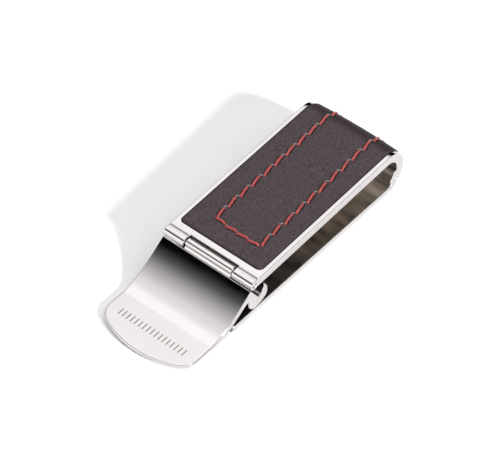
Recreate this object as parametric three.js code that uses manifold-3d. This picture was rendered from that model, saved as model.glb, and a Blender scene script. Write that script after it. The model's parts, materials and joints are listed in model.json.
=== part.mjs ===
// A lever money clip: a polished metal frame with a stitched leather inlay, a spring strip that closes
// the note slot below it, and a thumb lever whose cam bears on the strip.
// Units are millimetres. X runs across the clip, +Y towards the bend, and +Z up.
// The part frame has its origin at the middle of the clip's footprint, on the surface it lies on.
// Most pieces are drawn in the arm frame: z = 0 is the top of the frame's rim, y = 0 is just in front
// of the hinge, and the whole arm frame leans by armTilt so that the slot widens towards the bend.

import * as THREE from "three";
import { mergeVertices } from "three/addons/utils/BufferGeometryUtils.js";
import Module from "manifold-3d";

// ---- driving dimensions ----
const degree = Math.PI / 180;
const width = 24;
const armTilt = 1.93 * degree;
const bendRadius = 5.86; // outside of the bend, for the frame and the strip alike
const bendY = 46.15; // bend centre in the arm frame
const arcStep = 5 * degree;

const frameThickness = 2.3;
const frameFront = 2.6;
const frameEndAngle = -42.5 * degree; // where the frame stops on the bend, below horizontal
const rimWidth = 1.02;
const pocketFront = 4.17;
const pocketEndAngle = -27 * degree;
const pocketDepth = 1.8;
const pocketCorner = 1.2;

const inlayGap = 0.1; // all round the leather in its pocket
const layerGap = 0.05;
const leatherProud = 0.25;
const leatherThickness = 1.4;
const backingThickness = 0.4;
const filmThickness = 0.1;

const stitchLeft = -5.6; // the two long lines of stitches, set slightly to one side
const stitchRight = 6.4;
const stitchFront = 9.6; // where the first stitch of each long line starts
const stitchPitch = 3.88;
const stitchDash = 3.1;
const stitchSlant = 0.7;
const stitchCount = 12;
const frontLineY = 9.1;
const frontStitches = 4;
const frontSlant = 0.6;
const threadRadius = 0.25;
const threadSides = 8;
const threadLift = 0.42; // thread centre above the leather

const hingeY = 1.25;
const hingeZ = -1.25;
const knuckleRadius = 1.25; // of the frame's two knuckles, flush with the rim
const rollY = 1.42; // middle of the lever's knuckle, a roll slightly off the hinge axis
const rollZ = -1.05;
const rollRadius = 1.05;
const knuckleSplit = 6.4; // half length of the lever's knuckle, to the middle of the side gap
const knuckleSideGap = 0.3;
const pinRadius = 0.58;
const pinFit = 0.05; // radial clearance of the pin
const pinRecess = 0.2; // pin end below the knuckle's end face
const webTop = -0.15; // a web joins each of the frame's knuckles to its border
const webOverlap = 0.2;

const leverTipY = -23.4;
const tipArcRadius = 21.1;
const tipCornerRadius = 4.5;
const camRadius = 7.32; // stays just clear of the strip, 7.45 from the hinge axis

const stripThickness = 1.5;
const stripFront = -6.0;
const stripCorner = 1.5;
const shoulderAngle = -44 * degree;
const tongueEndAngle = -8 * degree;
const tongueThickness = 0.7;
const tongueGap = 0.1; // between the strip's tongue and the inside of the frame's bend
const joggleStart = -58 * degree;
const joggleEnd = -66 * degree;

// ---- booleans ----
const wasm = await Module();
wasm.setup();

function solidOf(geometry) {
  const bare = geometry.clone();
  bare.deleteAttribute("normal");
  bare.deleteAttribute("uv");
  const merged = mergeVertices(bare, 1e-4);
  const vertProperties = new Float32Array(merged.attributes.position.array);
  const triVerts = new Uint32Array(merged.index.array);
  return new wasm.Manifold(new wasm.Mesh({ numProp: 3, vertProperties, triVerts }));
}

function geometryOf(solid) {
  const mesh = solid.getMesh();
  const geometry = new THREE.BufferGeometry();
  const position = new THREE.BufferAttribute(new Float32Array(mesh.vertProperties), 3);
  geometry.setAttribute("position", position);
  geometry.setIndex(new THREE.BufferAttribute(new Uint32Array(mesh.triVerts), 1));
  const faceted = geometry.toNonIndexed();
  faceted.computeVertexNormals();
  return faceted;
}

// ---- outlines ----
function point(y, z) {
  return new THREE.Vector2(y, z);
}

const hinge = point(hingeY, hingeZ);
const roll = point(rollY, rollZ);

// Points on a circle from one angle to another, both ends included.
function arc(centre, radius, from, to) {
  const steps = Math.max(2, Math.ceil(Math.abs(to - from) / arcStep));
  const points = [];
  for (let i = 0; i <= steps; i += 1) {
    const angle = from + ((to - from) * i) / steps;
    points.push(point(centre.x + radius * Math.cos(angle), centre.y + radius * Math.sin(angle)));
  }
  return points;
}

// A bend between two straight stretches, tangent to both at its ends.
function softBend(start, corner, end) {
  return new THREE.QuadraticBezierCurve(start, corner, end).getPoints(8);
}

// A closed side outline, drawn in y and z, extruded evenly to both sides of x = 0.
function across(points, halfWidth) {
  const geometry = new THREE.ExtrudeGeometry(new THREE.Shape(points), {
    depth: 2 * halfWidth,
    bevelEnabled: false,
  });
  geometry.translate(0, 0, -halfWidth);
  const yAxis = new THREE.Vector3(0, 1, 0);
  const zAxis = new THREE.Vector3(0, 0, 1);
  const xAxis = new THREE.Vector3(1, 0, 0);
  geometry.applyMatrix4(new THREE.Matrix4().makeBasis(yAxis, zAxis, xAxis));
  return geometry;
}

// A plan outline, drawn in x and y, extruded from one height to another.
function upright(shape, bottom, top) {
  const geometry = new THREE.ExtrudeGeometry(shape, {
    depth: top - bottom,
    bevelEnabled: false,
    curveSegments: 8,
  });
  geometry.translate(0, 0, bottom);
  return geometry;
}

// A round bar along X, with its middle at a point given in y and z.
function barAlongX(centre, radius, from, to, sides) {
  const geometry = new THREE.CylinderGeometry(radius, radius, to - from, sides);
  geometry.rotateZ(Math.PI / 2);
  geometry.translate((from + to) / 2, centre.x, centre.y);
  return geometry;
}

function hingeBore() {
  return solidOf(barAlongX(hinge, pinRadius + pinFit, -width, width, 24));
}

// A layer that follows the frame: straight along the arm, then round the bend to endAngle.
function armLayer(front, endAngle, top, bottom) {
  const centre = point(bendY, -bendRadius);
  const outer = arc(centre, bendRadius + top, Math.PI / 2, endAngle);
  const inner = arc(centre, bendRadius + bottom, endAngle, Math.PI / 2);
  return [point(front, top), ...outer, ...inner, point(front, bottom)];
}

// The plan of the inlay: rounded corners at the front, and longer than the arm at the back.
function inlayPlan(halfWidth, front, corner) {
  const back = bendY + 2 * bendRadius;
  const shape = new THREE.Shape();
  shape.moveTo(halfWidth, back);
  shape.lineTo(-halfWidth, back);
  shape.lineTo(-halfWidth, front + corner);
  shape.absarc(-halfWidth + corner, front + corner, corner, Math.PI, 1.5 * Math.PI, false);
  shape.lineTo(halfWidth - corner, front);
  shape.absarc(halfWidth - corner, front + corner, corner, 1.5 * Math.PI, 2 * Math.PI, false);
  shape.closePath();
  return shape;
}

function inlayLayer(inset, endAngle, top, bottom) {
  const halfWidth = width / 2 - rimWidth - inset;
  const front = pocketFront + inset;
  const side = solidOf(across(armLayer(front, endAngle, top, bottom), halfWidth));
  const plan = solidOf(upright(inlayPlan(halfWidth, front, pocketCorner), -3 * bendRadius, bendRadius));
  return side.intersect(plan);
}

// ---- frame: the upper arm with its pocket, the bend and the two outer knuckles ----
function frameGeometry() {
  const band = armLayer(frameFront, frameEndAngle, 0, -frameThickness);
  let body = solidOf(across(band, width / 2));
  body = body.subtract(inlayLayer(0, pocketEndAngle, 2 * leatherProud, -pocketDepth));
  const inside = knuckleSplit + knuckleSideGap / 2;
  const outside = width / 2;
  const webEnd = frameFront + webOverlap;
  const webOutline = [
    point(hingeY, webTop),
    point(hingeY, -frameThickness),
    point(webEnd, -frameThickness),
    point(webEnd, webTop),
  ];
  const web = across(webOutline, (outside - inside) / 2);
  for (const side of [-1, 1]) {
    const ends = [side * inside, side * outside].sort((a, b) => a - b);
    body = body.add(solidOf(barAlongX(hinge, knuckleRadius, ends[0], ends[1], 36)));
    body = body.add(solidOf(web.clone().translate((ends[0] + ends[1]) / 2, 0, 0)));
  }
  return geometryOf(body.subtract(hingeBore()));
}

// ---- inlay: leather, the backing it is sewn to, and the adhesive film under both ----
function leatherGeometry() {
  const endAngle = pocketEndAngle + inlayGap / bendRadius;
  return geometryOf(inlayLayer(inlayGap, endAngle, leatherProud, leatherProud - leatherThickness));
}

function backingGeometry() {
  const top = leatherProud - leatherThickness - layerGap;
  const endAngle = pocketEndAngle + (2 * inlayGap) / bendRadius;
  return geometryOf(inlayLayer(2 * inlayGap, endAngle, top, top - backingThickness));
}

function filmGeometry() {
  const bottom = -pocketDepth + layerGap;
  const endAngle = pocketEndAngle + (3 * inlayGap) / bendRadius;
  return geometryOf(inlayLayer(3 * inlayGap, endAngle, bottom + filmThickness, bottom));
}

// ---- thread: one slanted stitch after another, along one side, across the front and back ----
// A point on the thread's line, at a distance along the arm that carries on round the bend.
function onLeather(x, distance) {
  const past = distance - bendY;
  const height = leatherProud + threadLift;
  if (past <= 0) return new THREE.Vector3(x, distance, height);
  const angle = Math.PI / 2 - past / bendRadius;
  const reach = bendRadius + height;
  return new THREE.Vector3(x, bendY + reach * Math.cos(angle), -bendRadius + reach * Math.sin(angle));
}

function threadSection() {
  const corners = [];
  for (let i = 0; i < threadSides; i += 1) {
    const angle = (2 * Math.PI * i) / threadSides;
    corners.push(point(threadRadius * Math.cos(angle), threadRadius * Math.sin(angle)));
  }
  return new THREE.Shape(corners);
}

// The two ends of one stitch of a long line: it leans to one side as it goes towards the bend.
function longStitch(x, index) {
  const start = stitchFront + index * stitchPitch;
  return [
    onLeather(x + stitchSlant / 2, start),
    onLeather(x - stitchSlant / 2, start + stitchDash),
  ];
}

function threadGeometry() {
  const points = [];
  for (let i = stitchCount - 1; i >= 0; i -= 1) {
    points.push(...longStitch(stitchLeft, i).reverse());
  }
  const frontPitch = (stitchRight - stitchLeft) / frontStitches;
  for (let i = 1; i < frontStitches; i += 1) {
    const x = stitchLeft + i * frontPitch;
    points.push(onLeather(x - frontSlant / 2, frontLineY + frontSlant / 2));
    points.push(onLeather(x + frontSlant / 2, frontLineY - frontSlant / 2));
  }
  for (let i = 0; i < stitchCount; i += 1) {
    points.push(...longStitch(stitchRight, i));
  }
  const path = new THREE.CatmullRomCurve3(points, false, "centripetal");
  return new THREE.ExtrudeGeometry(threadSection(), {
    steps: 3 * points.length,
    extrudePath: path,
    bevelEnabled: false,
  });
}

// ---- hinge pin ----
function pinGeometry() {
  const end = width / 2 - pinRecess;
  return barAlongX(hinge, pinRadius, -end, end, 24);
}

// ---- lever: a plate that slopes down from the hinge to a flat thumb tab, with a cam under its root ----
function leverOutline() {
  const topBend = softBend(point(0, -1.97), point(-8.5, -8.4), point(-13, -8.4));
  const bottomBend = softBend(point(-6.6, -8.3), point(-8.6, -9.55), point(-13, -9.5));
  const cam = arc(hinge, camRadius, -92.5 * degree, -58.5 * degree);
  return [
    point(0.08, -2.1),
    ...topBend,
    point(leverTipY, -7.95),
    point(leverTipY, -9.05),
    ...bottomBend.reverse(),
    point(-1.4, -5.05),
    point(-0.4, -5.1),
    point(-0.72, -5.9),
    point(-0.55, -6.9),
    point(0.1, -7.9),
    ...cam,
    point(5.58, -6.3),
    point(5.4, -4.8),
    point(4.25, -3.1),
    point(4.3, -4.5),
    point(3.6, -5.5),
    point(2.6, -6.1),
    point(0.5, -2.75),
  ];
}

function tipPlan() {
  const half = width / 2;
  const arcCentreY = leverTipY + tipArcRadius;
  const filletX = half - tipCornerRadius;
  const reach = tipArcRadius - tipCornerRadius;
  const filletY = arcCentreY - Math.sqrt(reach * reach - filletX * filletX);
  const turn = Math.atan2(filletY - arcCentreY, filletX);
  const right = arc(point(filletX, filletY), tipCornerRadius, 0, turn);
  const front = arc(point(0, arcCentreY), tipArcRadius, turn, -Math.PI - turn);
  const left = arc(point(-filletX, filletY), tipCornerRadius, -Math.PI - turn, -Math.PI);
  const back = 2 * camRadius;
  return new THREE.Shape([point(half, back), ...right, ...front.slice(1, -1), ...left, point(-half, back)]);
}

function leverGeometry() {
  const profile = solidOf(across(leverOutline(), width / 2));
  const plan = solidOf(upright(tipPlan(), -2 * camRadius, camRadius));
  const inside = knuckleSplit - knuckleSideGap / 2;
  const root = [point(0.42, -1.3), point(0, -2), point(0.3, -3), point(1.2, -3.2), point(1.9, -1.5)];
  let body = profile.intersect(plan);
  body = body.add(solidOf(barAlongX(roll, rollRadius, -inside, inside, 36)));
  body = body.add(solidOf(across(root, inside)));
  return geometryOf(body.subtract(hingeBore()));
}

// ---- spring strip: the lower arm, curled up behind the frame's bend with a tongue inside it ----
// Drawn in the part frame's y and z, with y = 0 where the arm frame's origin stands.
function stripGeometry(bendCentre) {
  const innerRadius = bendRadius - stripThickness;
  const tongueOuter = bendRadius - frameThickness - tongueGap;
  const tongueInner = tongueOuter - tongueThickness;
  const outline = [
    point(stripFront, 0),
    ...arc(bendCentre, bendRadius, -90 * degree, shoulderAngle),
    ...arc(bendCentre, tongueOuter, shoulderAngle, tongueEndAngle),
    ...arc(bendCentre, tongueInner, tongueEndAngle, joggleStart),
    ...arc(bendCentre, innerRadius, joggleEnd, -90 * degree),
    point(stripFront, stripThickness),
  ];
  const half = width / 2;
  const back = bendCentre.x + 2 * bendRadius;
  const plan = new THREE.Shape();
  plan.moveTo(half, back);
  plan.lineTo(-half, back);
  plan.lineTo(-half, stripFront + stripCorner);
  plan.absarc(-half + stripCorner, stripFront + stripCorner, stripCorner, Math.PI, 1.5 * Math.PI, false);
  plan.lineTo(half - stripCorner, stripFront);
  plan.absarc(half - stripCorner, stripFront + stripCorner, stripCorner, 1.5 * Math.PI, 2 * Math.PI, false);
  plan.closePath();
  const side = solidOf(across(outline, half));
  return geometryOf(side.intersect(solidOf(upright(plan, -bendRadius, 3 * bendRadius))));
}

// ---- materials ----
function metal(color, roughness) {
  return new THREE.MeshStandardMaterial({ color, roughness, metalness: 1 });
}

function soft(color, roughness) {
  return new THREE.MeshStandardMaterial({ color, roughness, metalness: 0 });
}

function piece(name, geometry, material) {
  const mesh = new THREE.Mesh(geometry, material);
  mesh.name = name;
  return mesh;
}

// ---- assembly ----
// The arm frame stands so high that the bend's outside just reaches the surface below.
const armHeight = bendRadius * (1 + Math.cos(armTilt)) - bendY * Math.sin(armTilt);
const bendCentre = point(bendY * Math.cos(armTilt) + bendRadius * Math.sin(armTilt), bendRadius);

const arm = new THREE.Group();
arm.rotation.x = armTilt;
arm.position.z = armHeight;
arm.add(
  piece("frame", frameGeometry(), metal(0xd8d8da, 0.08)),
  piece("leather_inlay", leatherGeometry(), soft(0x4a3f42, 0.65)),
  piece("inlay_backing", backingGeometry(), soft(0x8a7a63, 0.9)),
  piece("adhesive_film", filmGeometry(), soft(0xd9cfa8, 0.5)),
  piece("stitching_thread", threadGeometry(), soft(0xc64a43, 0.8)),
  piece("hinge_pin", pinGeometry(), metal(0xb9babd, 0.25)),
  piece("thumb_lever", leverGeometry(), metal(0xd8d8da, 0.05)),
);

const clip = new THREE.Group();
clip.add(arm, piece("spring_strip", stripGeometry(bendCentre), metal(0xcfcfd2, 0.12)));
const footprint = new THREE.Box3().setFromObject(clip, true);
clip.position.y = -(footprint.min.y + footprint.max.y) / 2;

const group = new THREE.Group();
group.add(clip);

export default group;
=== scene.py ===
import json
import math

import bmesh
import bpy
import numpy as np
from mathutils import Matrix, Vector


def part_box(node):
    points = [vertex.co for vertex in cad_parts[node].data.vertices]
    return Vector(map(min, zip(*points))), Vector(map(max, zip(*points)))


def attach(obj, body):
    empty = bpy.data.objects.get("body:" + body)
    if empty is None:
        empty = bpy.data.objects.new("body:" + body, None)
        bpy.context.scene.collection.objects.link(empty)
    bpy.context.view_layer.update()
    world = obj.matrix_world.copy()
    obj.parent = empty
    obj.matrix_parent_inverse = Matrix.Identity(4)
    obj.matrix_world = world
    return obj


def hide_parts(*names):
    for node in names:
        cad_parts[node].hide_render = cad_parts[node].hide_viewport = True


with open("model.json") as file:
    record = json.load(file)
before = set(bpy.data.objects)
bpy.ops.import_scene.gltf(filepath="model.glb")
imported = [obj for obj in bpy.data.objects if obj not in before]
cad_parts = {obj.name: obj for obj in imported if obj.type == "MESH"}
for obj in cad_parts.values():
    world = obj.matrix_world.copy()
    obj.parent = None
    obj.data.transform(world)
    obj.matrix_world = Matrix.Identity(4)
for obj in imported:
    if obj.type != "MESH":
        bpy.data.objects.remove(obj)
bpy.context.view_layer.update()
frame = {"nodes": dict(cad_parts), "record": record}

# A lever money clip: a polished frame with a stitched leather inlay, the spring strip below it, and a
# thumb lever on a pin hinge.
# Shapes are drawn in millimetres in the arm frame: z = 0 is the top of the frame's rim, y = 0 is just in
# front of the hinge, and +Y runs towards the bend. ARM takes them to the part frame, in metres.

# ---- measures ----
MM = 0.001
HINGE = (1.25, -1.25)  # the hinge axis in the arm frame, y and z
BEND_Y = 46.15
joints = {joint["name"]: Vector(joint["pos_m"]) for joint in frame["record"]["behaviour"]["joints"]}
hinge_at = joints["lever_hinge"]
bend_at = joints["strip_flex"]
BEND_RADIUS = bend_at.z / MM  # the bend's outside just reaches the floor
BEND = (BEND_Y, -BEND_RADIUS)
WIDTH = 2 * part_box("frame")[1].x / MM
HALF = WIDTH / 2

FRAME_THICKNESS = 2.3
FRAME_FRONT = 2.6
FRAME_END = -42.5  # where the frame stops on the bend, in degrees from horizontal
RIM = 1.02
POCKET_FRONT = 4.17
POCKET_END = -27.0  # likewise in degrees, as are SHOULDER, TONGUE_END and JOGGLE
POCKET_DEPTH = 1.8
POCKET_CORNER = 1.2
KNUCKLE_RADIUS = 1.25
ROLL = (1.42, -1.05)  # middle of the lever's rolled knuckle, slightly off the hinge axis
ROLL_RADIUS = 1.05
KNUCKLE_SPLIT = 6.4  # half length of the lever's knuckle, to the middle of the side gap
KNUCKLE_GAP = 0.3
KNUCKLE_FOOT = 0.5  # from the hinge back to where the frame's underside meets the knuckle
# The fold between an outer knuckle and the border: distance ahead of the border, and depth.
CREASE = ((0.75, 0.03), (0.42, 0.06), (0.32, 0.16), (0.2, 0.16), (0.12, 0.0))
NOTCH_FRONT = -2.0
NOTCH_BOTTOM = -4.0
NOTCH_TOP = 1.0
HAIR = 0.001  # keeps the knuckle's top off the rim's plane
BORE_RADIUS = 0.63
PIN_RADIUS = 0.58

LEVER_TIP = -23.39
TIP_TOP = -7.95
TIP_UNDER = -9.05
TIP_ARC = 21.1
TIP_CORNER = 4.5
PLATE_HEEL = (0.08, -2.1)
PLATE_TOP = (0.0, -1.97)  # where the sloping plate's top leaves the knuckle
TOP_CORNER_Y = -8.5  # where the plate's slope and the tab's top would meet
TAB_BACK = -13.0  # where the tab's flat top starts, and its height there
TAB_BACK_Z = -8.4
TAB_SLOPE = 0.45 / 10.4  # how fast the tab's top rises towards the tip
UNDER_BEND = ((-13.0, -9.5), (-8.6, -9.55), (-6.6, -8.3))  # start, corner and end of the lower bend
STEP = ((-1.4, -5.05), (-0.4, -5.1), (-0.72, -5.9), (-0.55, -6.9), (0.1, -7.9))  # plate to cam
CAM_RADIUS = 7.32
CAM_START = -92.5
CAM_END = -58.5
HOOK = (  # up the back of the cam, down its hollow inside and up to the knuckle
    (5.58, -6.3),
    (5.4, -4.8),
    (4.25, -3.1),
    (4.3, -4.5),
    (3.6, -5.5),
    (2.6, -6.1),
    (0.5, -2.75),
)
ROOT = ((0.42, -1.3), (0.0, -2.0), (0.3, -3.0), (1.2, -3.2), (1.9, -1.5))  # joins knuckle and plate
TAB_MIDDLE_Z = -8.75  # between the tab's upper and lower edges
TAB_FADE = -7.0  # the edges start to grow rounder here
TAB_TOP_EDGE = 1.75  # times the radius of other edges
TAB_UNDER_EDGE = 2.5
TICK_COUNT = 17
TICK_PITCH = 1.08
TICK_FRONT = -18.3
TICK_BACK = -16.4
TICK_HALF = 0.13
TICK_DEPTH = 0.13
TICK_TAPER = 0.12

STRIP_THICKNESS = 1.5
STRIP_CORNER = 1.5
SHOULDER = -44.0
TONGUE_END = -8.0
TONGUE_THICKNESS = 0.7
TONGUE_GAP = 0.1
JOGGLE = (-58.0, -66.0)

LEATHER_PROUD = 0.25
LEATHER_THICKNESS = 1.4
LEATHER_GAP = 0.1

EDGE = 0.2  # radius of the polished pieces' edges
STRIP_EDGE = 0.12
PIN_EDGE = 0.12
LARGEST_EDGE = 2.5  # times the usual radius
ARC_STEP = 2.0  # degrees

# ---- from the arm frame to the part frame ----
arm_line = (BEND[0] - HINGE[0], BEND[1] - HINGE[1])
part_line = bend_at - hinge_at
tilt = math.atan2(part_line.z, part_line.y) - math.atan2(arm_line[1], arm_line[0])
ARM = (
    Matrix.Translation(hinge_at)
    @ Matrix.Rotation(tilt, 4, "X")
    @ Matrix.Scale(MM, 4)
    @ Matrix.Translation((0, -HINGE[0], -HINGE[1]))
)
PART = Matrix.Scale(MM, 4)


# ---- outlines ----
def arc(centre, radius, start, end):
    """Points on a circle from one angle to another, in degrees, both ends included."""
    steps = max(2, math.ceil(abs(end - start) / ARC_STEP))
    angles = np.radians(np.linspace(start, end, steps + 1))
    return [(centre[0] + radius * math.cos(a), centre[1] + radius * math.sin(a)) for a in angles]


def soft_bend(start, corner, end, steps=48):
    """A quadratic curve between two straight stretches, tangent to both at its ends."""
    points = []
    for t in np.linspace(0.0, 1.0, steps + 1):
        weights = ((1 - t) ** 2, 2 * t * (1 - t), t**2)
        points.append(tuple(sum(w * p[k] for w, p in zip(weights, (start, corner, end))) for k in (0, 1)))
    return points


# ---- solids ----
def mesh_object(name, vertices, faces):
    """A new object in the scene, with all its faces turned outwards."""
    mesh = bpy.data.meshes.new(name)
    mesh.from_pydata(vertices, [], faces)
    made = bmesh.new()
    made.from_mesh(mesh)
    bmesh.ops.recalc_face_normals(made, faces=made.faces)
    made.to_mesh(mesh)
    made.free()
    obj = bpy.data.objects.new(name, mesh)
    bpy.context.scene.collection.objects.link(obj)
    return obj


def prism(name, outline, place, low, high):
    """An outline extruded from low to high; place turns (a, b, height) into a point."""
    count = len(outline)
    vertices = [place(a, b, height) for height in (low, high) for a, b in outline]
    faces = [tuple(range(count)), tuple(range(count, 2 * count))]
    for i in range(count):
        j = (i + 1) % count
        faces.append((i, j, j + count, i + count))
    return mesh_object(name, vertices, faces)


def across(name, outline, left, right):
    """A side outline in y and z, extruded along x."""
    return prism(name, outline, lambda y, z, x: (x, y, z), left, right)


def upright(name, outline, bottom, top):
    """A plan outline in x and y, extruded along z."""
    return prism(name, outline, lambda x, y, z: (x, y, z), bottom, top)


def bar(name, centre, radius, left, right, sides=72):
    """A round bar across the clip, with its middle at a point given in y and z."""
    angles = [2 * math.pi * i / sides for i in range(sides)]
    ring = [(centre[0] + radius * math.cos(a), centre[1] + radius * math.sin(a)) for a in angles]
    return across(name, ring, left, right)


def settle(obj):
    """Applies the object's modifiers to its mesh."""
    depsgraph = bpy.context.evaluated_depsgraph_get()
    evaluated = obj.evaluated_get(depsgraph)
    mesh = bpy.data.meshes.new_from_object(evaluated, preserve_all_data_layers=True, depsgraph=depsgraph)
    obj.modifiers.clear()
    obj.data = mesh


def combine(obj, operation, tool):
    """A boolean with a tool that isn't kept. Operation is DIFFERENCE, UNION or INTERSECT."""
    modifier = obj.modifiers.new("shape", "BOOLEAN")
    modifier.operation = operation
    modifier.solver = "EXACT"
    modifier.object = tool
    settle(obj)
    bpy.data.objects.remove(tool)


def even(middle):
    """The same radius for an edge anywhere."""
    return 1.0


def soften(obj, radius, segments=4, angle=25.0, enlarge=even, engrave=None):
    """Rounds the hard edges and shades the rest smooth.

    Enlarge scales the radius where an edge lies, and engrave makes a tool that cuts edges left sharp.
    """
    tidy = bmesh.new()
    tidy.from_mesh(obj.data)
    bmesh.ops.remove_doubles(tidy, verts=tidy.verts, dist=1e-4)
    bmesh.ops.dissolve_limit(tidy, angle_limit=math.radians(0.2), verts=tidy.verts, edges=tidy.edges)
    weights = tidy.edges.layers.float.new("bevel_weight_edge")
    for edge in tidy.edges:
        if edge.calc_face_angle(0.0) > math.radians(angle):
            middle = (edge.verts[0].co + edge.verts[1].co) / 2
            edge[weights] = enlarge(middle) / LARGEST_EDGE
    tidy.to_mesh(obj.data)
    tidy.free()
    bevel = obj.modifiers.new("edges", "BEVEL")
    bevel.width = radius * LARGEST_EDGE
    bevel.segments = segments
    bevel.limit_method = "WEIGHT"
    bevel.use_clamp_overlap = False
    settle(obj)
    if engrave:
        combine(obj, "DIFFERENCE", engrave())
    smooth(obj, angle)


def smooth(obj, angle=25.0):
    """Smooth shading with normals that favour the large faces."""
    obj.data.shade_smooth()
    obj.data.set_sharp_from_angle(angle=math.radians(angle))
    weighted = obj.modifiers.new("normals", "WEIGHTED_NORMAL")
    weighted.keep_sharp = True
    settle(obj)


# ---- node materials ----
NICKEL = (0.605, 0.581, 0.578)
PIN_STEEL = (0.58, 0.58, 0.57)
# Leather colours for painted shade (round the stitches, at the edges, sides and bend) and for a painted
# glint on the ridges between stitches.
LEATHER_PAINTED_SHADE = (0.016, 0.006, 0.009)
LEATHER_PAINTED_GLINT = (0.2, 0.165, 0.16)


def add(tree, kind, inputs=None, **settings):
    """A node with its settings, and its inputs given as values or as sockets of other nodes."""
    node = tree.nodes.new(kind)
    for key, value in settings.items():
        setattr(node, key, value)
    for key, value in (inputs or {}).items():
        if isinstance(value, bpy.types.NodeSocket):
            tree.links.new(value, node.inputs[key])
        else:
            node.inputs[key].default_value = value
    return node


def ramp(tree, factor, stops):
    """A colour ramp from (position, colour) stops."""
    node = add(tree, "ShaderNodeValToRGB", {"Fac": factor})
    elements = node.color_ramp.elements
    while len(elements) < len(stops):
        elements.new(0.5)
    for element, (position, colour) in zip(elements, stops):
        element.position = position
        element.color = (*colour, 1.0)
    return node.outputs["Color"]


def remap(tree, value, low, high, to_low, to_high, kind="LINEAR"):
    node = add(
        tree,
        "ShaderNodeMapRange",
        {"Value": value, "From Min": low, "From Max": high, "To Min": to_low, "To Max": to_high},
        interpolation_type=kind,
    )
    return node.outputs["Result"]


def smoothstep(tree, value, low, high, to_low, to_high):
    return remap(tree, value, low, high, to_low, to_high, "SMOOTHSTEP")


def mix(tree, factor, first, second):
    """A mix of two colours, each given as a socket or as red, green and blue."""
    colours = [c if isinstance(c, bpy.types.NodeSocket) else (*c, 1.0) for c in (first, second)]
    inputs = {"Factor": factor, 6: colours[0], 7: colours[1]}
    return add(tree, "ShaderNodeMix", inputs, data_type="RGBA").outputs[2]


def arithmetic(tree, operation, *values):
    return add(tree, "ShaderNodeMath", dict(enumerate(values)), operation=operation).outputs[0]


def noise(tree, place, scale, detail=2.0, roughness=0.5):
    node = add(
        tree,
        "ShaderNodeTexNoise",
        {"Vector": place, "Scale": scale, "Detail": detail, "Roughness": roughness},
    )
    return node.outputs["Fac"]


def new_material(name):
    """A material, its node tree, its shader, and the object coordinates in metres."""
    material = bpy.data.materials.new(name)
    material.use_nodes = True
    tree = material.node_tree
    place = add(tree, "ShaderNodeTexCoord").outputs["Object"]
    return material, tree, tree.nodes["Principled BSDF"], place


def stretched(tree, place, scale):
    """Coordinates scaled by a different amount along each axis."""
    node = add(tree, "ShaderNodeMapping", {"Vector": place, "Scale": scale})
    return node.outputs["Vector"]


def polished_metal(name, tint, roughness, smudge):
    """Bright plating with faint smudges and polishing lines along the clip."""
    material, tree, shader, place = new_material(name)
    patches = noise(tree, place, 180.0, 3.0)
    lines = noise(tree, stretched(tree, place, (9000.0, 250.0, 9000.0)), 1.0, 2.0)
    darker = tuple(0.965 * c for c in tint)
    colour = ramp(tree, patches, [(0.35, darker), (0.65, tint)])
    tree.links.new(colour, shader.inputs["Base Color"])
    rough = remap(tree, patches, 0.3, 0.7, roughness, roughness + smudge)
    tree.links.new(rough, shader.inputs["Roughness"])
    bump = add(tree, "ShaderNodeBump", {"Height": lines, "Strength": 0.01, "Distance": 1e-6})
    tree.links.new(bump.outputs["Normal"], shader.inputs["Normal"])
    shader.inputs["Metallic"].default_value = 1.0
    return material


def strip_material():
    """The same plating on the strip; inside the note slot, tarnish patches with painted light: painted shade
    near the hinge and pale tan painted reflections towards the bend.
    """
    material, tree, shader, place = new_material("polished_strip")
    patches = noise(tree, stretched(tree, place, (60.0, 190.0, 60.0)), 1.0, 2.0, 0.6)
    x, y, _ = add(tree, "ShaderNodeSeparateXYZ", {0: place}).outputs
    # Painted light on the slot's inner faces: dark grey painted shade near the hinge, turning into pale tan
    # patches towards the bend that are partly tarnish and partly painted reflection.
    far = smoothstep(tree, y, -0.006, 0.02, 0.0, 1.0)
    painted_shade_tone = ramp(tree, patches, [(0.38, (0.11, 0.11, 0.107)), (0.62, (0.24, 0.23, 0.215))])
    bright = ramp(tree, patches, [(0.38, (0.28, 0.275, 0.25)), (0.62, (0.95, 0.84, 0.73))])
    tarnish_and_painted_light = mix(tree, far, painted_shade_tone, bright)
    from_middle = arithmetic(tree, "ABSOLUTE", x)
    inside = smoothstep(tree, from_middle, (HALF - 0.35) * MM, (HALF - 0.1) * MM, 1.0, 0.0)
    tree.links.new(mix(tree, inside, NICKEL, tarnish_and_painted_light), shader.inputs["Base Color"])
    tree.links.new(remap(tree, inside, 0.0, 1.0, 0.07, 0.3), shader.inputs["Roughness"])
    wavy = arithmetic(tree, "MULTIPLY", inside, 0.5)
    bump = add(tree, "ShaderNodeBump", {"Height": patches, "Strength": wavy, "Distance": 4e-4})
    tree.links.new(bump.outputs["Normal"], shader.inputs["Normal"])
    shader.inputs["Metallic"].default_value = 1.0
    return material


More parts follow.
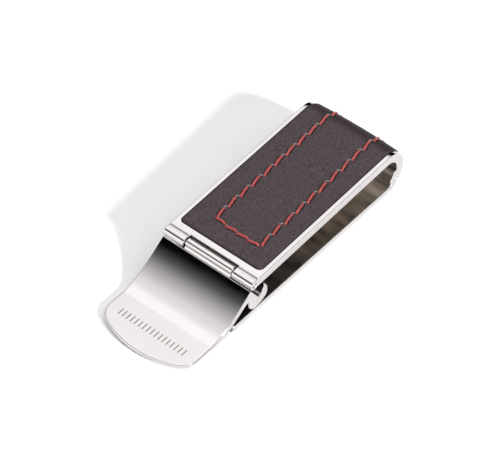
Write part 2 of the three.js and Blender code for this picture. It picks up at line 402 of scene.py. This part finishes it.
def leather_material():
    """Matt dark brown leather, mottled and pebbled, with painted shade where pressed in round the stitches
    and at its edges, sides and bend, and a painted glint on the ridges between stitches.
    """
    material, tree, shader, place = new_material("dark_leather")
    mottle = noise(tree, place, 2200.0, 3.0, 0.7)
    colour = ramp(tree, mottle, [(0.3, (0.021, 0.013, 0.017)), (0.7, (0.075, 0.056, 0.061))])
    painted_shade = add(tree, "ShaderNodeAttribute", attribute_name="press_and_shade").outputs["Fac"]
    # Painted shade: round the stitches, at the panel's edges and sides, and over the bend.
    pressed = mix(tree, painted_shade, colour, LEATHER_PAINTED_SHADE)
    # Painted glint on the ridges between stitches.
    painted_glint = add(tree, "ShaderNodeAttribute", attribute_name="painted_glint").outputs["Fac"]
    tree.links.new(mix(tree, painted_glint, pressed, LEATHER_PAINTED_GLINT), shader.inputs["Base Color"])
    cells = add(tree, "ShaderNodeTexVoronoi", {"Vector": place, "Scale": 3200.0, "Randomness": 1.0})
    fine = noise(tree, place, 9000.0, 2.0)
    height = arithmetic(tree, "ADD", cells.outputs["Distance"], fine)
    bump = add(tree, "ShaderNodeBump", {"Height": height, "Strength": 0.35, "Distance": 3e-5})
    tree.links.new(bump.outputs["Normal"], shader.inputs["Normal"])
    rough = remap(tree, mottle, 0.3, 0.7, 0.5, 0.66)
    tree.links.new(rough, shader.inputs["Roughness"])
    shader.inputs["Specular IOR Level"].default_value = 0.25
    return material


def thread_material():
    """Red twisted thread: fine fibres along it and a soft sheen."""
    material, tree, shader, place = new_material("red_thread")
    fibres = noise(tree, place, 6000.0, 3.0, 0.6)
    colour = ramp(tree, fibres, [(0.3, (0.15, 0.010, 0.010)), (0.7, (0.43, 0.043, 0.038))])
    tree.links.new(colour, shader.inputs["Base Color"])
    bump = add(tree, "ShaderNodeBump", {"Height": fibres, "Strength": 0.4, "Distance": 3e-5})
    tree.links.new(bump.outputs["Normal"], shader.inputs["Normal"])
    shader.inputs["Roughness"].default_value = 0.5
    shader.inputs["Sheen Weight"].default_value = 0.3
    return material


def board_material():
    """Pressed fibre board, pale brown and flecked."""
    material, tree, shader, place = new_material("backing_board")
    flecks = noise(tree, place, 2500.0, 5.0, 0.7)
    colour = ramp(tree, flecks, [(0.35, (0.16, 0.11, 0.065)), (0.65, (0.32, 0.24, 0.15))])
    tree.links.new(colour, shader.inputs["Base Color"])
    bump = add(tree, "ShaderNodeBump", {"Height": flecks, "Strength": 0.5, "Distance": 4e-5})
    tree.links.new(bump.outputs["Normal"], shader.inputs["Normal"])
    shader.inputs["Roughness"].default_value = 0.9
    return material


def film_material():
    """Amber double-sided tape with faint trapped bubbles."""
    material, tree, shader, place = new_material("adhesive_film")
    bubbles = add(tree, "ShaderNodeTexVoronoi", {"Vector": place, "Scale": 900.0}).outputs["Distance"]
    colour = ramp(tree, bubbles, [(0.1, (0.52, 0.44, 0.24)), (0.5, (0.68, 0.6, 0.38))])
    tree.links.new(colour, shader.inputs["Base Color"])
    rough = remap(tree, bubbles, 0.0, 0.6, 0.25, 0.5)
    tree.links.new(rough, shader.inputs["Roughness"])
    return material


frame_metal = polished_metal("polished_frame", NICKEL, 0.05, 0.05)
strip_metal = strip_material()
lever_metal = polished_metal("polished_lever", NICKEL, 0.05, 0.05)
pin_metal = polished_metal("pin_steel", PIN_STEEL, 0.22, 0.12)


def install(obj, matrix, body, node, material):
    """Takes a finished piece to the part frame and makes it stand for its CAD node."""
    obj.data.transform(matrix)
    obj.data.materials.clear()
    obj.data.materials.append(material)
    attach(obj, body)
    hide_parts(node)
    return obj


# ---- frame ----
def arm_layer(front, end, top, bottom):
    """A layer that follows the frame: straight along the arm, then round the bend."""
    outer = arc(BEND, BEND_RADIUS + top, 90, end)
    inner = arc(BEND, BEND_RADIUS + bottom, end, 90)
    return [(front, top), *outer, *inner, (front, bottom)]


def pocket_plan(half, front, corner):
    """Rounded corners at the front, and longer than the arm at the back."""
    back = BEND_Y + 2 * BEND_RADIUS
    right = arc((half - corner, front + corner), corner, 0, -90)
    left = arc((-half + corner, front + corner), corner, -90, -180)
    return [(half, back), *right, *left, (-half, back)]


def frame_outline():
    """The side of the frame through an outer knuckle."""
    outer = arc(BEND, BEND_RADIUS, 90, FRAME_END)
    inner = arc(BEND, BEND_RADIUS - FRAME_THICKNESS, FRAME_END, 90)
    foot = (HINGE[0] + KNUCKLE_FOOT, -FRAME_THICKNESS)
    knuckle = arc(HINGE, KNUCKLE_RADIUS, -90, -270)[:-1]
    crease = [(FRAME_FRONT - ahead, -depth) for ahead, depth in CREASE]
    return [*outer, *inner, foot, *knuckle, (HINGE[0], -HAIR), *crease]


def make_frame():
    """The upper arm and bend, with a notch for the lever's knuckle, the inlay's pocket and the bore."""
    body = across("frame_body", frame_outline(), -HALF, HALF)
    inside = KNUCKLE_SPLIT + KNUCKLE_GAP / 2
    notch = [
        (NOTCH_FRONT, NOTCH_BOTTOM),
        (FRAME_FRONT, NOTCH_BOTTOM),
        (FRAME_FRONT, NOTCH_TOP),
        (NOTCH_FRONT, NOTCH_TOP),
    ]
    combine(body, "DIFFERENCE", across("notch", notch, -inside, inside))
    half = HALF - RIM
    pocket = across("pocket", arm_layer(POCKET_FRONT, POCKET_END, 1.0, -POCKET_DEPTH), -half, half)
    plan = pocket_plan(half, POCKET_FRONT, POCKET_CORNER)
    combine(pocket, "INTERSECT", upright("plan", plan, -3 * BEND_RADIUS, BEND_RADIUS))
    combine(body, "DIFFERENCE", pocket)
    combine(body, "DIFFERENCE", bar("bore", HINGE, BORE_RADIUS, -WIDTH, WIDTH))
    soften(body, EDGE)
    return install(body, ARM, "frame", "frame", frame_metal)


# ---- spring strip, drawn in the part frame's y and z ----
def make_strip():
    """The lower arm, curled up behind the frame's bend with a thin tongue inside it."""
    centre = (bend_at.y / MM, BEND_RADIUS)
    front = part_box("spring_strip")[0].y / MM
    tongue_outer = BEND_RADIUS - FRAME_THICKNESS - TONGUE_GAP
    outline = [
        (front, 0.0),
        *arc(centre, BEND_RADIUS, -90, SHOULDER),
        *arc(centre, tongue_outer, SHOULDER, TONGUE_END),
        *arc(centre, tongue_outer - TONGUE_THICKNESS, TONGUE_END, JOGGLE[0]),
        *arc(centre, BEND_RADIUS - STRIP_THICKNESS, JOGGLE[1], -90),
        (front, STRIP_THICKNESS),
    ]
    body = across("strip_body", outline, -HALF, HALF)
    plan = pocket_plan(HALF, front, STRIP_CORNER)
    combine(body, "INTERSECT", upright("plan", plan, -BEND_RADIUS, 3 * BEND_RADIUS))
    soften(body, STRIP_EDGE)
    return install(body, PART, "strip", "spring_strip", strip_metal)


# ---- lever ----
def lever_outline():
    """The side of the lever: along the top to the tip, back underneath, and round the cam."""
    corner = (TOP_CORNER_Y, TAB_BACK_Z + TAB_SLOPE * (TAB_BACK - TOP_CORNER_Y))
    return [
        PLATE_HEEL,
        *soft_bend(PLATE_TOP, corner, (TAB_BACK, TAB_BACK_Z)),
        (LEVER_TIP, TIP_TOP),
        (LEVER_TIP, TIP_UNDER),
        *soft_bend(*UNDER_BEND),
        *STEP,
        *arc(HINGE, CAM_RADIUS, CAM_START, CAM_END),
        *HOOK,
    ]


def tip_plan():
    """The lever from above: a shallow arc across the tip with rounded corners."""
    centre_y = LEVER_TIP + TIP_ARC
    fillet_x = HALF - TIP_CORNER
    reach = TIP_ARC - TIP_CORNER
    fillet_y = centre_y - math.sqrt(reach**2 - fillet_x**2)
    turn = math.degrees(math.atan2(fillet_y - centre_y, fillet_x))
    right = arc((fillet_x, fillet_y), TIP_CORNER, 0, turn)
    front = arc((0, centre_y), TIP_ARC, turn, -180 - turn)
    left = arc((-fillet_x, fillet_y), TIP_CORNER, -180 - turn, -180)
    back = 2 * CAM_RADIUS
    return [(HALF, back), *right, *front[1:-1], *left, (-HALF, back)]


def rounder_at_tab(middle):
    """How many times rounder an edge is: more at the tab than elsewhere, most of all underneath."""
    share = min(max((TAB_FADE - middle.y) / (TAB_FADE - TAB_BACK), 0.0), 1.0)
    full = TAB_UNDER_EDGE if middle.z < TAB_MIDDLE_Z else TAB_TOP_EDGE
    return 1 + share * (full - 1)


def tick_cutters():
    """A row of short V-shaped grooves across the tab, made as one mesh of wedges."""
    vertices, faces = [], []
    for i in range(TICK_COUNT):
        middle = (i - (TICK_COUNT - 1) / 2) * TICK_PITCH
        corners = []
        for y, outwards in ((TICK_FRONT, -1), (TICK_BACK, 1)):
            top = TAB_BACK_Z + (TAB_BACK - y) * TAB_SLOPE
            end = y + outwards * TICK_TAPER
            corners.append((middle - 2 * TICK_HALF, end, top + TICK_DEPTH))
            corners.append((middle + 2 * TICK_HALF, end, top + TICK_DEPTH))
            corners.append((middle, y - outwards * TICK_TAPER, top - TICK_DEPTH))
        first = len(vertices)
        vertices.extend(corners)
        for face in ((0, 1, 2), (3, 5, 4), (0, 3, 4, 1), (1, 4, 5, 2), (2, 5, 3, 0)):
            faces.append(tuple(first + k for k in face))
    return mesh_object("ticks", vertices, faces)


def make_lever():
    """The plate and cam in one outline, with the rolled knuckle, its root and the bore."""
    body = across("lever_plate", lever_outline(), -HALF, HALF)
    combine(body, "INTERSECT", upright("plan", tip_plan(), -2 * CAM_RADIUS, CAM_RADIUS))
    inside = KNUCKLE_SPLIT - KNUCKLE_GAP / 2
    combine(body, "UNION", bar("knuckle", ROLL, ROLL_RADIUS, -inside, inside, 90))
    combine(body, "UNION", across("root", ROOT, -inside, inside))
    combine(body, "DIFFERENCE", bar("bore", HINGE, BORE_RADIUS, -WIDTH, WIDTH))
    soften(body, EDGE, segments=6, enlarge=rounder_at_tab, engrave=tick_cutters)
    return install(body, ARM, "lever", "thumb_lever", lever_metal)


# ---- hinge pin ----
def make_pin():
    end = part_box("hinge_pin")[1].x / MM
    pin = bar("steel_pin", HINGE, PIN_RADIUS, -end, end, 60)
    soften(pin, PIN_EDGE)
    return install(pin, ARM, "frame", "hinge_pin", pin_metal)


# ---- stitches: distances run along the arm and on round the bend ----
STITCH_FIRST = 9.6
STITCH_PITCH = 3.88
STITCH_DASH = 3.2
STITCH_SLANT = 0.66
STITCH_COUNT = 12
STITCH_WOBBLE = 0.08
LEFT_LINE = -5.56
RIGHT_LINE = 6.6
RIGHT_DRIFT = -0.013  # the right line runs slightly inwards
FRONT_LINE = 9.1
FRONT_COUNT = 4
FRONT_DASH = 2.8
FRONT_SLANT = 0.5
FRONT_WOBBLE = 0.06
CORNER_LIFT = 0.4  # the first front stitch starts this much further back, at the left line's end
rng = np.random.default_rng(7)


def wobbly(start, end, amount):
    """A stitch with both its ends moved a little, as by hand."""
    wobble = rng.uniform(-amount, amount, 4)
    return ((start[0] + wobble[0], start[1] + wobble[1]), (end[0] + wobble[2], end[1] + wobble[3]))


def side_stitches(line_x, drift):
    line = []
    for i in range(STITCH_COUNT):
        distance = STITCH_FIRST + i * STITCH_PITCH
        x = line_x + drift * (distance - STITCH_FIRST)
        start = (x + STITCH_SLANT / 2, distance)
        end = (x - STITCH_SLANT / 2, distance + STITCH_DASH)
        line.append(wobbly(start, end, STITCH_WOBBLE))
    return line


def front_stitches():
    line = []
    pitch = (RIGHT_LINE - LEFT_LINE) / FRONT_COUNT
    for i in range(FRONT_COUNT):
        x = LEFT_LINE + i * pitch
        lean = FRONT_SLANT / 2 if i else 0.0
        distance = FRONT_LINE if i else FRONT_LINE + CORNER_LIFT
        start = (x, distance - lean)
        end = (x + FRONT_DASH, distance + lean)
        line.append(wobbly(start, end, FRONT_WOBBLE))
    return line


# each stitch is a pair of (x, distance) ends, and each line's stitches are in the order they were sewn
STITCHES = [side_stitches(LEFT_LINE, 0.0), side_stitches(RIGHT_LINE, RIGHT_DRIFT), front_stitches()]


def on_arm(x, distance, height):
    """Points at a distance along the arm that carries on round the bend, at a height above the rim."""
    past = np.maximum(distance - BEND_Y, 0.0) / BEND_RADIUS
    reach = BEND_RADIUS + height
    y = np.minimum(distance, BEND_Y) + reach * np.sin(past)
    z = -BEND_RADIUS + reach * np.cos(past)
    return np.stack(np.broadcast_arrays(x, y, z), axis=-1)


# ---- leather ----
EDGE_ROUND = 0.35
CROWN = 0.3
CROWN_LEAST = 0.1  # share of the crown along the flat of the arm
CROWN_START = 32.0  # the crown grows to its full height from here
CROWN_RUN = 14.0
PRESS_DEPTH = 0.26  # of the leather under the thread
BESIDE_PRESS = 0.8  # share of it beside a stitch
BESIDE_REACH = 0.5
HOLE_REACH = 0.24
GAP_PRESS = 0.9  # share of it in the fold between two stitches
GAP_REACH = 0.13
RIDGE_HEIGHT = 0.1  # of the raised lip beside that fold, which also gets a painted glint
RIDGE_ASIDE = 0.26
BANDS = ((-6.7, -4.8), (5.2, 7.5))  # the stitch lines, which get a finer grid
BAND_STEP = 0.09
MIDDLE_STEP = 0.14
SIDE_STEP = 0.5
BARE_END = 8.2  # no stitch comes nearer to the hinge
BARE_STEP = 0.3
ROW_STEP = 0.11
RIM_DARK = 0.55  # painted shade at the leather's edge next to the rim, fading out over RIM_REACH
RIM_REACH = 0.5
# Painted shade where the leather is pressed in round the stitches, and on the panel's sides and underside
# down in the pocket.
PRESS_DARK = 0.75
SIDE_DARK = 0.8
BEND_DARK_START = 0.3  # the painted shade on the bend starts this far past the start of the bend
BEND_DARK_RUN = 2.3


def along_and_across(x, v, start, end):
    """Distances along and across a line from start to end, and the line's length."""
    step = np.array(end) - np.array(start)
    length = np.hypot(*step)
    unit = step / length
    along = (x - start[0]) * unit[0] + (v - start[1]) * unit[1]
    sideways = -(x - start[0]) * unit[1] + (v - start[1]) * unit[0]
    return along, sideways, length


def bump_along(along, length, soft):
    """1 between the ends of a line, fading over a soft distance outside them."""
    outside = np.maximum(np.maximum(-along, along - length), 0.0)
    return np.exp(-((outside / soft) ** 2))


def leather_crown(x, v):
    """Height of the leather's smooth face: slightly crowned, and more so at the bend."""
    towards_bend = np.clip((v - CROWN_START) / CROWN_RUN, 0.0, 1.0)
    across_share = 1 - (x / (HALF - RIM)) ** 2
    along_share = CROWN_LEAST + (1 - CROWN_LEAST) * towards_bend
    return LEATHER_PROUD + CROWN * across_share * along_share


def leather_height(x, v, edge):
    """The face's height above the rim, how much it is pressed in, which also sets its painted shade, and its
    painted glint, each from 0 to 1.
    """
    height = leather_crown(x, v)
    near = np.clip(1.0 - edge / EDGE_ROUND, 0.0, 1.0)
    height = height - EDGE_ROUND * (1 - np.sqrt(np.clip(1 - near**2, 0.0, 1.0)))
    press_and_shade = np.zeros_like(height)
    painted_glint = np.zeros_like(height)
    for line in STITCHES:
        for start, end in line:
            along, sideways, length = along_and_across(x, v, start, end)
            beside = bump_along(along, length, 0.15) * np.exp(-((sideways / BESIDE_REACH) ** 4))
            press_and_shade = np.maximum(press_and_shade, BESIDE_PRESS * beside)
            for hole in (start, end):
                away = np.hypot(x - hole[0], v - hole[1])
                press_and_shade = np.maximum(press_and_shade, np.exp(-((away / HOLE_REACH) ** 2)))
        for (_, end), (start, _) in zip(line, line[1:]):
            along, sideways, length = along_and_across(x, v, end, start)
            inside = bump_along(along, length, 0.1)
            fold = inside * np.exp(-((sideways / GAP_REACH) ** 2))
            press_and_shade = np.maximum(press_and_shade, GAP_PRESS * fold)
            ridge = inside * np.exp(-(((sideways - RIDGE_ASIDE) / GAP_REACH) ** 2))
            height = height + RIDGE_HEIGHT * ridge
            # a painted glint on that ridge
            painted_glint = np.maximum(painted_glint, ridge)
    return height - PRESS_DEPTH * press_and_shade, press_and_shade, painted_glint


def spread(low, high, step):
    """Evenly spaced values from low to high, at most a step apart."""
    return np.linspace(low, high, max(2, math.ceil((high - low) / step) + 1))


def leather_columns(half):
    """Places across the leather, closer together at its edges and along the stitches."""
    edge = half - EDGE_ROUND * (1 - np.cos(np.radians(np.linspace(0, 90, 7))))
    left, right = BANDS
    parts = [
        -edge,
        spread(-half + EDGE_ROUND, left[0], SIDE_STEP),
        spread(*left, BAND_STEP),
        spread(left[1], right[0], MIDDLE_STEP),
        spread(*right, BAND_STEP),
        spread(right[1], half - EDGE_ROUND, SIDE_STEP),
        edge,
    ]
    return np.unique(np.round(np.concatenate(parts), 5))


def leather_rows(front, back, corner):
    """Places along the leather, closer together round its corners and back edge."""
    turn = np.radians(np.linspace(0, 90, 15))
    parts = [
        front + corner * (1 - np.cos(turn)),
        spread(front + corner, BARE_END, BARE_STEP),
        spread(BARE_END, back - EDGE_ROUND, ROW_STEP),
        back - EDGE_ROUND * (1 - np.cos(turn)),
    ]
    return np.unique(np.round(np.concatenate(parts), 5))


def closed_sheet(top, left, right, first, last):
    """Vertices and faces of a grid of top points, closed by a bottom with points only round its edge."""
    row_count, column_count = top.shape[:2]
    vertices = np.concatenate([top.reshape(-1, 3), left, right, first[1:-1], last[1:-1]])
    grid = np.arange(row_count * column_count).reshape(row_count, column_count)
    low_left = grid.size + np.arange(row_count)
    low_right = low_left + row_count
    inner = low_right[-1] + 1 + np.arange(column_count - 2)
    low_first = [low_left[0], *inner, low_right[0]]
    low_last = [low_left[-1], *(inner + column_count - 2), low_right[-1]]
    faces = []
    for r in range(row_count - 1):
        for c in range(column_count - 1):
            faces.append((grid[r, c], grid[r, c + 1], grid[r + 1, c + 1], grid[r + 1, c]))
        faces.append((grid[r, 0], grid[r + 1, 0], low_left[r + 1], low_left[r]))
        faces.append((grid[r, -1], low_right[r], low_right[r + 1], grid[r + 1, -1]))
        if 0 < r < row_count - 2:
            faces.append((low_left[r], low_left[r + 1], low_right[r + 1], low_right[r]))
    for c in range(column_count - 1):
        faces.append((grid[0, c], low_first[c], low_first[c + 1], grid[0, c + 1]))
        faces.append((grid[-1, c], grid[-1, c + 1], low_last[c + 1], low_last[c]))
    faces.append((*low_first, low_right[1], low_left[1]))
    faces.append((*low_last, low_right[-2], low_left[-2]))
    return vertices.tolist(), [tuple(int(i) for i in face) for face in faces]


def mark(mesh, name, face_values, rest):
    """A value on each point of the face, which come first in the mesh, and one for the other points."""
    values = np.full(len(mesh.vertices), rest)
    values[: face_values.size] = face_values.reshape(-1)
    mesh.attributes.new(name, "FLOAT", "POINT").data.foreach_set("value", values)


def make_leather():
    """A crowned sheet that follows the arm and the bend, pressed in along its stitches."""
    half = HALF - RIM - LEATHER_GAP
    corner = POCKET_CORNER - LEATHER_GAP
    front = POCKET_FRONT + LEATHER_GAP
    back = BEND_Y + BEND_RADIUS * math.radians(90 - POCKET_END) - LEATHER_GAP
    columns = leather_columns(half)
    rows = leather_rows(front, back, corner)
    cut = np.clip((corner - (rows - front)) / corner, 0.0, 1.0)
    row_half = half - corner * (1 - np.sqrt(1 - cut**2))
    x = columns[None, :] / half * row_half[:, None]
    v = np.broadcast_to(rows[:, None], x.shape)
    from_side = row_half[:, None] - np.abs(x)
    edge = np.minimum(np.minimum(from_side, v - front), back - v)
    height, press_and_shade, painted_glint = leather_height(x, v, edge)
    bottom = LEATHER_PROUD - LEATHER_THICKNESS
    left = on_arm(-row_half, rows, bottom)
    right = on_arm(row_half, rows, bottom)
    first = on_arm(x[0], v[0], bottom)
    last = on_arm(x[-1], v[-1], bottom)
    vertices, faces = closed_sheet(on_arm(x, v, height), left, right, first, last)
    leather = mesh_object("leather_panel", vertices, faces)
    # Painted shade: at the edge by the rim, over the bend, and where the stitches press in.
    rim_dark = np.clip(1.0 - edge / RIM_REACH, 0.0, 1.0) * RIM_DARK
    bend_dark = np.clip((v - BEND_Y - BEND_DARK_START) / BEND_DARK_RUN, 0.0, 1.0)
    dark = np.maximum.reduce([press_and_shade * PRESS_DARK, rim_dark, bend_dark])
    mark(leather.data, "press_and_shade", dark, SIDE_DARK)
    # painted glint on the ridges between stitches
    mark(leather.data, "painted_glint", painted_glint, 0.0)
    leather.data.shade_smooth()
    leather.data.set_sharp_from_angle(angle=math.radians(50))
    return install(leather, ARM, "frame", "leather_inlay", leather_material())


# ---- thread ----
THREAD_RADIUS = 0.17
PLY_OFFSET = 0.13
PLIES = 3
PLY_SIDES = 10
TWIST = 4.4  # millimetres for one turn of the plies
THREAD_STEPS = 22
THREAD_SUNK = 0.38  # below the leather's face at a stitch's ends
THREAD_LIFT = 0.46


def stitch_path(start, end):
    """One stitch: up out of its hole, along the leather and down into the next hole."""
    t = np.linspace(0.0, 1.0, THREAD_STEPS)
    x = start[0] + (end[0] - start[0]) * t
    v = start[1] + (end[1] - start[1]) * t
    lift = 1 - np.abs(2 * t - 1) ** 5
    height = leather_crown(x, v) - THREAD_SUNK + THREAD_LIFT * lift
    return x, v, height


def tube(points, radius, sides):
    """A closed tube along points, with its rings square to the path."""
    tangent = np.gradient(points, axis=0)
    tangent /= np.linalg.norm(tangent, axis=1, keepdims=True)
    side = np.cross(tangent, [0.0, 0.0, 1.0])
    side /= np.linalg.norm(side, axis=1, keepdims=True)
    upward = np.cross(side, tangent)
    angles = (2 * np.pi * np.arange(sides) / sides)[None, :, None]
    ring = np.cos(angles) * side[:, None, :] + np.sin(angles) * upward[:, None, :]
    vertices = (points[:, None, :] + radius * ring).reshape(-1, 3)
    count = len(points)
    faces = [tuple(range(sides)), tuple(range((count - 1) * sides, count * sides))]
    for r in range(count - 1):
        for s in range(sides):
            n = (s + 1) % sides
            faces.append((r * sides + s, r * sides + n, (r + 1) * sides + n, (r + 1) * sides + s))
    return vertices, faces


def make_thread():
    """Every stitch as plies that twist round each other, all in one mesh."""
    vertices, faces = [], []
    for line in STITCHES:
        for start, end in line:
            x, v, height = stitch_path(start, end)
            length = math.dist(start, end)
            distance = np.linspace(0.0, length, THREAD_STEPS)
            direction = (np.array(end) - np.array(start)) / length
            phase = rng.uniform(0, 2 * math.pi)
            for ply in range(PLIES):
                angle = phase + 2 * np.pi * (ply / PLIES + distance / TWIST)
                aside = PLY_OFFSET * np.cos(angle)
                above = PLY_OFFSET * np.sin(angle)
                points = on_arm(x - aside * direction[1], v + aside * direction[0], height + above)
                ring, sides = tube(points, THREAD_RADIUS, PLY_SIDES)
                first = len(vertices)
                vertices.extend(ring.tolist())
                faces.extend(tuple(first + i for i in face) for face in sides)
    thread = mesh_object("red_stitches", vertices, faces)
    thread.data.shade_smooth()
    thread.data.set_sharp_from_angle(angle=math.radians(60))
    return install(thread, ARM, "frame", "stitching_thread", thread_material())


make_frame()
make_strip()
make_lever()
make_pin()
make_leather()
make_thread()
for node, material in (("inlay_backing", board_material()), ("adhesive_film", film_material())):
    for slot in frame["nodes"][node].material_slots:
        slot.material = material


# ---- camera: above the near right corner, looking along the clip ----
TURN = math.radians(40.0)  # from +Y, in the arm frame
DOWN = math.radians(49.36)
SENSOR = 36.0
FOCAL = 5.9556 * SENSOR
DISTANCE = 618.45  # to the arm frame's origin
AIM_RIGHT = 0.01457  # the camera looks slightly right of the origin and above it
AIM_UP = 0.00907


def make_camera():
    right = Vector((math.cos(TURN), math.sin(TURN), 0.0))
    upward = Vector((-math.sin(TURN) * math.sin(DOWN), math.cos(TURN) * math.sin(DOWN), math.cos(DOWN)))
    forward = upward.cross(right)
    aim = (forward + AIM_RIGHT * right + AIM_UP * upward).normalized()
    to_part = ARM.to_3x3().normalized()
    place = ARM @ (-DISTANCE * forward)
    back = -(to_part @ aim)
    side = (to_part @ upward).cross(back).normalized()
    top = back.cross(side)
    data = bpy.data.cameras.new("camera")
    data.lens = FOCAL
    data.sensor_width = SENSOR
    data.clip_start = 0.01
    data.clip_end = 10.0
    camera = bpy.data.objects.new("camera", data)
    turn = Matrix((side, top, back)).transposed().to_4x4()
    camera.matrix_world = Matrix.Translation(place) @ turn
    bpy.context.scene.collection.objects.link(camera)
    bpy.context.scene.camera = camera


# ---- floor and light ----
def make_floor():
    reach = 1.5  # metres
    corners = [(-reach, -reach, 0), (reach, -reach, 0), (reach, reach, 0), (-reach, reach, 0)]
    floor = mesh_object("floor", corners, [(0, 1, 2, 3)])
    floor.location.z = -0.02 * MM
    material, tree, shader, place = new_material("pale_floor")
    grain = noise(tree, place, 60.0, 2.0)
    colour = ramp(tree, grain, [(0.3, (0.89, 0.89, 0.89)), (0.7, (0.91, 0.91, 0.91))])
    tree.links.new(colour, shader.inputs["Base Color"])
    shader.inputs["Roughness"].default_value = 0.9
    shader.inputs["Specular IOR Level"].default_value = 0.0
    floor.data.materials.append(material)


STUDIO = 1.7
# The dark band's edges from below to above, in degrees over the horizon: in front of the clip and behind it.
BAND_EDGES = ((24.0, -6.0), (30.0, 2.0), (42.0, 26.0), (76.0, 53.0))
BAND_RISE = ((0, 0), (0.1, 0.08), (0.25, 0.35), (0.5, 0.69), (0.65, 0.755), (1, 0.96))


def make_studio():
    """A soft bright room with one dark band round it, lower behind the clip than in front of it."""
    world = bpy.data.worlds.new("studio")
    world.use_nodes = True
    bpy.context.scene.world = world
    tree = world.node_tree
    direction = add(tree, "ShaderNodeTexCoord").outputs["Generated"]
    _, y, z = add(tree, "ShaderNodeSeparateXYZ", {0: direction}).outputs
    height = arithmetic(tree, "MULTIPLY", arithmetic(tree, "ARCSINE", z), 180 / math.pi)
    squared = arithmetic(tree, "MULTIPLY", z, z)
    flat = arithmetic(tree, "SQRT", arithmetic(tree, "SUBTRACT", 1.0001, squared))
    behind = arithmetic(tree, "DIVIDE", y, flat)
    edges = [smoothstep(tree, behind, -0.6, 0.8, front, back) for front, back in BAND_EDGES]
    below = smoothstep(tree, height, edges[0], edges[1], 1.0, 0.0)
    rise = remap(tree, height, edges[2], edges[3], 0.0, 1.0)
    above = ramp(tree, rise, [(position, (value,) * 3) for position, value in BAND_RISE])
    bright = arithmetic(tree, "MULTIPLY", arithmetic(tree, "MAXIMUM", below, above), STUDIO)
    background = tree.nodes["Background"]
    tree.links.new(bright, background.inputs["Strength"])
    background.inputs["Color"].default_value = (1.0, 1.0, 1.0, 1.0)


def make_key_light():
    data = bpy.data.lights.new("key", "SUN")
    data.energy = 3.5
    data.angle = math.radians(6.5)
    key = bpy.data.objects.new("key", data)
    towards = Vector((-0.884, 0.063, -0.463))
    key.rotation_euler = towards.to_track_quat("-Z", "Y").to_euler()
    bpy.context.scene.collection.objects.link(key)


make_camera()
make_floor()
make_studio()
make_key_light()
bpy.context.scene.view_settings.view_transform = "Standard"
bpy.context.scene.cycles.glossy_bounces = 12
